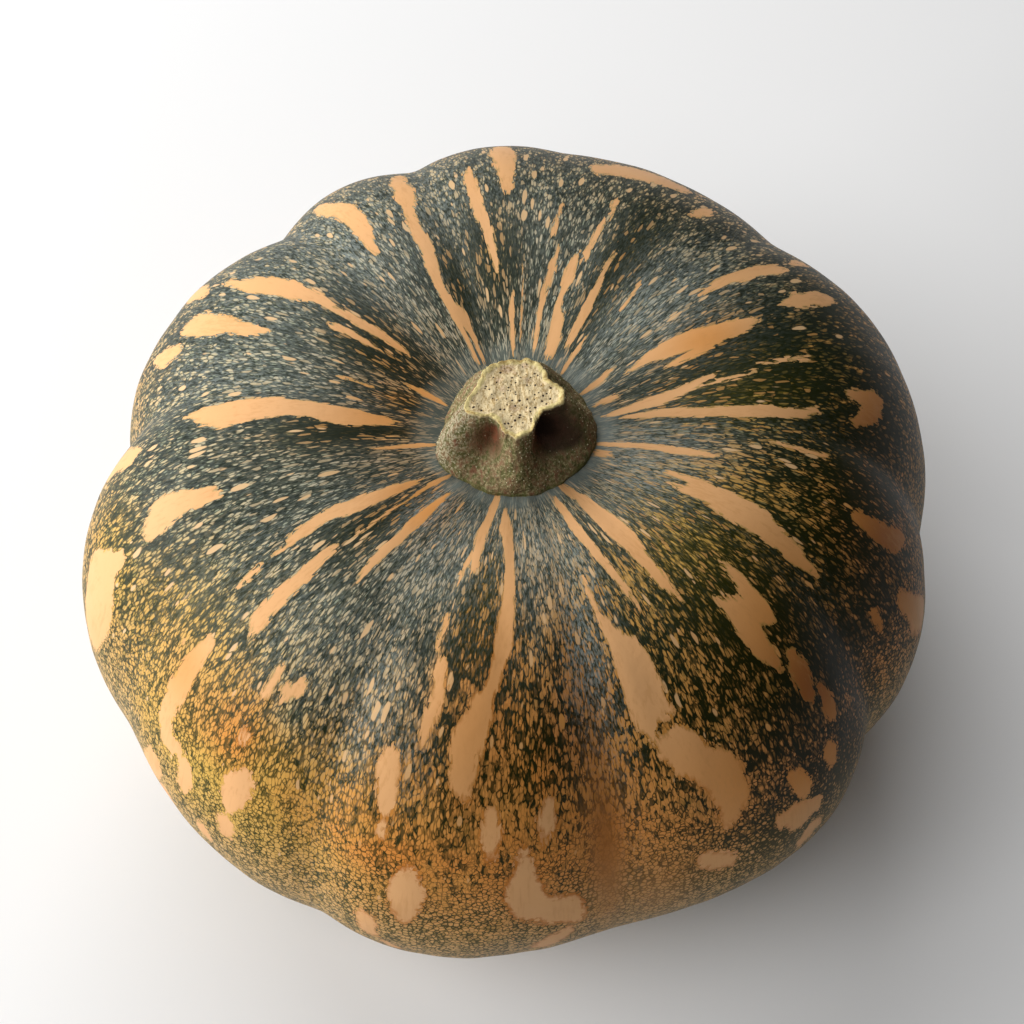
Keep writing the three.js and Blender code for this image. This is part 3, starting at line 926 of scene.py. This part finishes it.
def small_spots(rind, skin, net):
    """Where spots between a cell and a blotch in size lie, and where pale dashes do."""
    spot_place = rind.shifted(rind.stretched(skin.crown_place, 1.0, 1.0, 0.8), 2.0, 1.2)
    spot, own = rind.cell_middles(spot_place, SPOT_SPACING)
    size = (own - 0.36) * 0.56 * (1.0 - skin.belly * 0.5) * (1.0 - skin.dark * 0.4)
    rarity = ease(skin.distance + skin.patch * 20.0, *FEWER_DASHES)
    dash_level = blend(0.78, 1.0, rarity)
    in_dash = is_above(net.fibre_own, dash_level) * ease(net.fibre_cell, -0.02, 0.10)
    return ease(spot, size + 0.03, size - 0.05), in_dash


def zone_colour(rind, skin, palette):
    """The first colour of a palette, with the others laid over it in turn, each by its zone."""
    plain, *others = palette
    return rind.layers(plain, *((colour, getattr(skin, zone) * share)
                                for zone, share, colour in others))


def net_colour(rind, skin, net, pale):
    """The colour of the net: cells, bright here and dull there, and dark lines between them."""
    brightness = net.own + (skin.streaks - 0.5) * 0.9 - skin.bands + skin.belly * 0.24
    brightness = brightness + skin.pale * 0.45 - skin.dark * 0.55 + skin.coarse * 0.2
    dull = ease(brightness, 1.15, 0.35) * blend(0.95, 0.7, skin.warm)
    deepest = rind.mix(DEEPEST["plain"], DEEPEST["ruddy"], skin.ruddy)
    dull_colour = rind.mix(zone_colour(rind, skin, DULL), deepest, skin.dark * 0.7)
    cell_colour = rind.mix(zone_colour(rind, skin, CELL), dull_colour, dull)
    line_colour = rind.mix(zone_colour(rind, skin, LINE), LINE_IN_BLOOM_AND_SHEEN,
                           at_most(skin.bloom * 0.3, 0.5))
    return rind.mix(line_colour, cell_colour, pale)


def rind_finish():
    rind = Finish("rind")
    skin = skin_fields(rind)
    net = skin_net(rind, skin)
    blotch = rind.value("blotch")

    # Blotches are ragged along their edges, cell by cell, most of all at their ends.
    finger_place = rind.stretched(skin.crown_place, 1.0, 1.0, 0.55)
    fingers = rind.noise(finger_place, FINGER_SIZE, 2.0, 0.6) - 0.5
    ragged = blotch + fingers * 3.4 + skin.grit * 0.9 + (net.own - 0.5) * 1.7
    in_blotch = ease(ragged, 0.2, -0.2)
    edge = ease(ragged, -1.3, 0.0) * ease(ragged, 1.6, 0.3)
    pale = pale_cells(skin, net, ragged, ease(blotch, *HALO))
    in_spot, in_dash = small_spots(rind, skin, net)

    # A bluish bloom lies over the skin in threads, thinner over spots. It also carries painted
    # sheen: the lamps' broad reflection, as a lighter grey-blue.
    thread_place = rind.stretched(skin.crown_place, 1.0, 1.0, 0.3)
    threads = rind.noise(thread_place, THREAD_SIZE, 2.0, 0.6)
    veil_and_sheen = rind.value("furrow") * 0.2 + skin.bloom
    veil_and_sheen = veil_and_sheen * (1.0 - skin.green * 0.5) * (1.0 - skin.dark * 0.7)
    veil_and_sheen = veil_and_sheen * ease(threads, 0.36, 0.62) * ease(skin.streaks, 0.2, 0.6)
    veil_and_sheen = veil_and_sheen * (1.0 - at_least(in_spot, in_dash) * 0.7)
    # The grey collar round the stem fades away from the bloom zones, behind the stem where its
    # shadow falls: painted shade.
    in_collar = ease(skin.distance + skin.patch * 6.0, *COLLAR_EDGE)
    in_collar = in_collar * at_most(0.3 + skin.bloom * 0.7, 0.8)
    to_end = BLOSSOM_END - (skin.distance + skin.patch * 4.0)
    in_scar = ease(to_end, *SCAR_EDGE)

    # Blotches on the right side darken to a brown: painted shade.
    blotch_colour = rind.layers(
        BLOTCH["plain"],
        (BLOTCH["ruddy"], skin.ruddy),
        (BLOTCH["under"], skin.under * (1.0 - skin.ruddy)),
        (BLOTCH["shaded_blotch"], rind.value("blotch_shade")),
        (BLOTCH["streak"], ease(skin.streaks + skin.patch * 0.6, 0.50, 0.72) * 0.3),
        (BLOTCH["edge"], ease(ragged, -0.9, 0.3) * skin.crown * 0.6))
    colour = rind.layers(
        net_colour(rind, skin, net, pale),
        (zone_colour(rind, skin, DASH), in_dash * 0.7),
        (rind.mix(SPOT["plain"], SPOT["warm"], at_least(skin.warm, skin.ruddy)), in_spot),
        (BLOOM_AND_SHEEN, at_most(veil_and_sheen * 0.7, 1.0)),
        (COLLAR, in_collar),
        (rind.mix(BARE["plain"], BARE["under"], skin.under), rind.value("bareness")),
        (rind.mix(SCAR["dark"], SCAR["pale"], ease(skin.grit, -0.1, 0.15)), in_scar),
        (blotch_colour, in_blotch),
        (BLOTCH["warm edge"], edge * skin.warm * pale * 0.8))
    bumps = rind.noise(skin.place, BUMP_SIZE) * 0.6 + pale * 0.10
    rind.set(Base_Color=colour, Roughness=blend(0.45, 0.6, at_most(veil_and_sheen, 1.0)),
             Specular_IOR_Level=0.1, Normal=rind.bump(bumps, 0.35, 0.4 * MM))
    return rind.material


def cut_face(wood, place, patches, grain, threads):
    """The colour of the stem's cut, and where its pores are open."""
    rim = wood.value("rim")
    mottle = wood.noise(place, MOTTLE_SIZE, 1.0)
    pore, own = wood.cell_middles(wood.shifted(place, 2.0 * MM, 0.6 * MM), PORE_SPACING)
    size = (own - 0.20) * 0.46
    open_pore = ease(pore, size + 0.04, size - 0.03) * (1.0 - rim)
    colour = wood.layers(
        CUT["pale"],
        (CUT["thread"], ease(threads, 0.40, 0.70)),
        (CUT["pink"], ease(patches, 0.55, 0.7) * 0.35),
        (CUT["mottle"], ease(mottle + patches * 0.4, 0.76, 0.90) * 0.6),
        (CUT["pore"], open_pore),
        (CUT["rim"], ease(rim + threads * 0.8, 0.75, 1.25)),
        (CUT["brown rim"], ease(rim * 0.5 + grain * 0.6 + patches * 0.6, 1.0, 1.2) * 0.7))
    return colour, open_pore


def stem_finish():
    wood = Finish("corky wood")
    place = wood.object_place()
    cut = wood.value("cut")
    recess = wood.value("recess")
    rise = wood.value("rise")
    lobe = wood.value("lobe")
    painted_shade = wood.value("painted_shade")
    grain = wood.noise(place, GRAIN_SIZE, 3.0, 0.65)
    patches = wood.noise(place, WOOD_PATCH)
    streaks = wood.noise(wood.stretched(place, 1.0, 1.0, 0.16), WOOD_STREAK, 3.0, 0.6)
    threads = wood.noise(wood.stretched(place, 1.0, 0.35, 1.0), WOOD_THREAD, 3.0, 0.7)
    side = wood.layers(
        SIDE["green"],
        (SIDE["brown"], ease(streaks, 0.38, 0.60)),
        (SIDE["pale grain"], ease(grain, 0.46, 0.70) * 0.75),
        (SIDE["dark grain"], ease(grain, 0.44, 0.30) * 0.55),
        (SIDE["pale lobe"], ease(grain + lobe * 0.15, 0.56, 0.76) * lobe),
        (SIDE["red streak"], ease(streaks + patches * 0.5, 0.84, 0.98) * 0.6),
        (SIDE["green foot"], ease(rise + patches * 0.16, 0.12, 0.07) * 0.6),
        # Hollows go brown and dark, partly the wood's colour and partly painted shade. The side
        # away from the lamps is darkened as painted shade, its hollows most, and specks there are
        # fainter.
        (SIDE["recess"], ease(recess + grain * 0.9 - 0.45, 0.25, 0.75) * 0.8),
        (SIDE["red recess"], ease(recess * 0.5 + streaks, 0.86, 1.0) * 0.5),
        (SIDE["painted_shade"], ease(painted_shade + grain * 0.8 - 0.4, 0.25, 0.75) * 0.85),
        (SIDE["deepest"], ease(painted_shade * recess + grain * 0.3 - 0.15, 0.50, 0.95)),
        (SIDE["speck"], wood.value("speck") * blend(0.9, 0.3, at_most(recess + painted_shade, 1.0))))
    face, open_pore = cut_face(wood, place, patches, grain, threads)
    height = blend(grain + streaks * 0.6, threads * 0.7 - open_pore * 1.2, cut)
    wood.set(Base_Color=wood.mix(side, face, cut), Roughness=0.8, Specular_IOR_Level=0.2,
             Normal=wood.bump(height, 0.8, 0.35 * MM))
    return wood.material


# ------------------------------------------------------------------ the stem's form
def stem_measures(azimuth):
    """Foot radius, cut radius, power and undercut at each azimuth, eased between ridges."""
    knots = np.array(STEM_RIDGES, dtype=float)
    places = knots[:, 0]
    turn = (azimuth - places[0]) % 360
    starts = (places - places[0]) % 360
    before = np.searchsorted(starts, turn, side="right") - 1
    after = (before + 1) % len(knots)
    gap = (starts[after] - starts[before]) % 360
    share = (1 - np.cos(np.pi * (turn - starts[before]) / gap)) / 2
    return blend(knots[before, 1:].T, knots[after, 1:].T, share)


def roughness_at(points, layers, unit=1.0):
    """How far each point stands out, from layers of noise, each a size, a seed and a depth."""
    total = 0.0
    for size, seed, depth in layers:
        scale = size * unit
        shift = Vector((seed, 2 * seed, 3 * seed))
        heights = [noise.noise(Vector(point) / scale + shift) for point in points]
        total = total + np.array(heights) * depth
    return total


def stem_mesh():
    azimuth = np.arange(STEM_COLUMNS) * 360 / STEM_COLUMNS - 180
    foot, cut, power, undercut = stem_measures(azimuth)
    turn = np.radians(azimuth)
    around = np.stack((np.cos(turn), np.sin(turn), np.zeros(STEM_COLUMNS)), axis=-1)
    edge = around * cut[:, None]
    ragged = roughness_at(edge, CUT_RAGGEDNESS)
    lip = (1 + roughness_at(edge, LIP_WAVES)) * CUT_LIP / STEM_HEIGHT
    lobe = sum(share * hill(azimuth, place, spread) for place, spread, share in PALE_LOBES)
    shade = hill(azimuth, *SHADED_SIDE)
    rings = []
    marks = {name: [] for name in ("cut", "rim", "recess", "rise", "lobe", "painted_shade")}

    def add_ring(radius, height, values):
        upright = SEAT + STEM_HEIGHT * (height + np.zeros(STEM_COLUMNS))
        rings.append(np.hstack((around[:, :2] * (radius * MM)[:, None], upright[:, None])))
        for name, value in values.items():
            marks[name].append(np.broadcast_to(value, STEM_COLUMNS))

    for ring in range(1, CUT_RINGS):
        share = ring / CUT_RINGS
        rim = ease((1 - share) * cut, *RIM_WIDTH)
        marked = dict(cut=1.0, rim=rim, recess=0.0, rise=1.0, lobe=0.0, painted_shade=0.0)
        add_ring((cut + ragged) * share, 1.0 + rim * lip, marked)
    for height in np.linspace(1, -STEM_ROOT, STEM_ROWS):
        rise = max(height, 0)
        above = max(0, rise - STEM_SKIRT) / (1 - STEM_SKIRT)
        hollow = max(0, math.sin(math.pi * above))
        radius = foot + (cut - foot) * rise ** power - undercut * hollow ** 1.3
        radius = radius + ragged * ease(rise, 0.75, 1.0)
        on_top = 1.0 if height == 1 else 0.0
        deep = max(0, math.sin(math.pi * above ** 1.4))
        recess = np.clip(undercut / DEEP_HOLLOW, 0, 1.2) * deep ** 1.2
        # Painted shade on the side away from the lamps, from low down up to the cut.
        painted_shade = shade * ease(above, 0.02, 0.30)
        marked = dict(cut=on_top, rim=on_top, recess=recess, rise=rise, lobe=lobe, painted_shade=painted_shade)
        add_ring(radius, height + on_top * lip, marked)
    top = np.array([[0, 0, SEAT + STEM_HEIGHT]])
    foot_middle = np.array([[0, 0, SEAT - STEM_HEIGHT * STEM_ROOT]])
    points = np.concatenate([top, *rings, foot_middle])
    rough = roughness_at(points, STEM_ROUGHNESS, MM)
    outward = points * (1, 1, 0)
    outward /= np.linalg.norm(outward, axis=1, keepdims=True) + 1e-9
    on_cut = np.concatenate([[1], *marks["cut"], [0]])
    direction = np.where(on_cut[:, None] > 0.5, (0, 0, 1), outward)
    points = points + direction * rough[:, None] * MM + np.array(AXIS)
    mesh = bpy.data.meshes.new("stem fine")
    mesh.from_pydata(points, [], closed_tube_faces(len(rings), STEM_COLUMNS))
    for name, values in marks.items():
        first = 1 if name in ("cut", "rise") else 0
        add_attribute(mesh, name, np.concatenate([[first], *values, [0]]))
    return mesh


def specked_stem_tree():
    """The stem's form with small corky specks raised all over its sides."""
    tree, source = new_tree("specked stem", SPECKS)
    given = source.outputs
    rise = named_field(tree, "rise")
    bare = named_field(tree, "cut") + ease(rise, 0.06, 0.04) + named_field(tree, "recess") * 0.7
    share = at_least(0.45 + named_field(tree, "lobe") * 0.55 - bare, 0.0)
    scatter = add_node(tree, "GeometryNodeDistributePointsOnFaces", {
        "Mesh": given["Geometry"], "Distance Min": given["Spacing"],
        "Density Max": given["Density"], "Density Factor": share,
        "Seed": given["Seed"]}, distribute_method="POISSON")
    bead = add_node(tree, "GeometryNodeMeshIcoSphere", {
        "Subdivisions": 1, "Radius": given["Speck size"]})
    mark = add_node(tree, "GeometryNodeStoreNamedAttribute", {
        "Geometry": bead.outputs["Mesh"], "Name": "speck", "Value": 1.0})
    sizes = add_node(tree, "FunctionNodeRandomValue", {
        2: SPECK_SCALES[0], 3: SPECK_SCALES[1], "Seed": given["Seed"]})
    place = add_node(tree, "GeometryNodeInstanceOnPoints", {
        "Points": scatter.outputs["Points"], "Instance": mark.outputs["Geometry"],
        "Scale": sizes.outputs[1]})
    both = tree.nodes.new("GeometryNodeJoinGeometry")
    feed(tree, given["Geometry"], both.inputs["Geometry"])
    feed(tree, place.outputs["Instances"], both.inputs["Geometry"])
    return finish_tree(tree, source, both.outputs["Geometry"])


# ------------------------------------------------------------------ the object
def make_fruit():
    fruit = grow(ribbed_fruit_tree(), fruit_lattice(), "fruit_skin", SIZES, rind_finish())
    mark_fruit(fruit.data)
    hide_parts("fruit")
    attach(fruit, "root")


def make_stem():
    stem = grow(specked_stem_tree(), stem_mesh(), "stem_wood", SPECKS, stem_finish())
    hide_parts("stem")
    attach(stem, "root")


# ------------------------------------------------------------------ floor, light, camera
CAMERA_PLACE = Vector((0.0014, -0.2467, 0.4850))
CAMERA_AIM = Vector((0.0006, 0.0026, 0.0630))
CAMERA_LENS = 77.1              # millimetres, on a sensor this wide
SENSOR_WIDTH = 36
MIDDLE = Vector((0, 0, 0.055))  # what the lights face
FLOOR_HALF = 3.0
LIGHTS = (                      # name, azimuth, elevation, distance, width, height, watts
    ("window", 180, 15, 1.2, 1.3, 0.55, 20.0),
    ("window back", 111, 42, 1.2, 1.1, 0.6, 9.0),
    ("window front", 229, 60, 1.2, 0.9, 0.6, 5.4),
)
WORLD_LIGHT = 0.03              # the strength that the object gets from all around
WORLD_SEEN = 0.85               # and the one that the camera sees behind the floor's edge


def make_floor():
    mesh = bpy.data.meshes.new("floor")
    corners = [(-1, -1), (1, -1), (1, 1), (-1, 1)]
    mesh.from_pydata([(x * FLOOR_HALF, y * FLOOR_HALF, 0) for x, y in corners],
                     [], [(0, 1, 2, 3)])
    paper = Finish("pale floor")
    paper.set(Base_Color=linear(PAPER), Roughness=0.7)
    mesh.materials.append(paper.material)
    floor = put_in_scene("floor", mesh)


def add_light(name, azimuth, elevation, away, wide, high, power):
    """A soft white panel facing the fruit, from an azimuth and elevation in degrees."""
    lamp = bpy.data.lights.new(name, "AREA")
    lamp.shape = "RECTANGLE"
    lamp.size = wide
    lamp.size_y = high
    lamp.energy = power
    light = put_in_scene(name, lamp)
    turn = math.radians(azimuth)
    tilt = math.radians(elevation)
    level = away * math.cos(tilt)
    offset = Vector((level * math.cos(turn), level * math.sin(turn), away * math.sin(tilt)))
    light.location = MIDDLE + offset
    light.rotation_euler = (-offset).to_track_quat("-Z", "Y").to_euler()


def make_world():
    world = bpy.data.worlds.new("studio")
    bpy.context.scene.world = world
    world.use_nodes = True
    tree = world.node_tree
    seen = Field(tree, tree.nodes.new("ShaderNodeLightPath").outputs["Is Camera Ray"])
    background = tree.nodes["Background"].inputs
    background["Color"].default_value = linear(SURROUND)
    feed(tree, blend(WORLD_LIGHT, WORLD_SEEN, seen), background["Strength"])
    bpy.context.scene.view_settings.view_transform = "Standard"


def make_camera():
    lens = bpy.data.cameras.new("camera")
    lens.lens = CAMERA_LENS
    lens.sensor_width = SENSOR_WIDTH
    lens.clip_start = 0.01
    camera = put_in_scene("camera", lens)
    camera.location = CAMERA_PLACE
    camera.rotation_euler = (CAMERA_AIM - CAMERA_PLACE).to_track_quat("-Z", "Y").to_euler()
    bpy.context.scene.camera = camera


make_fruit()
make_stem()
make_floor()
for light in LIGHTS:
    add_light(*light)
make_world()
make_camera()
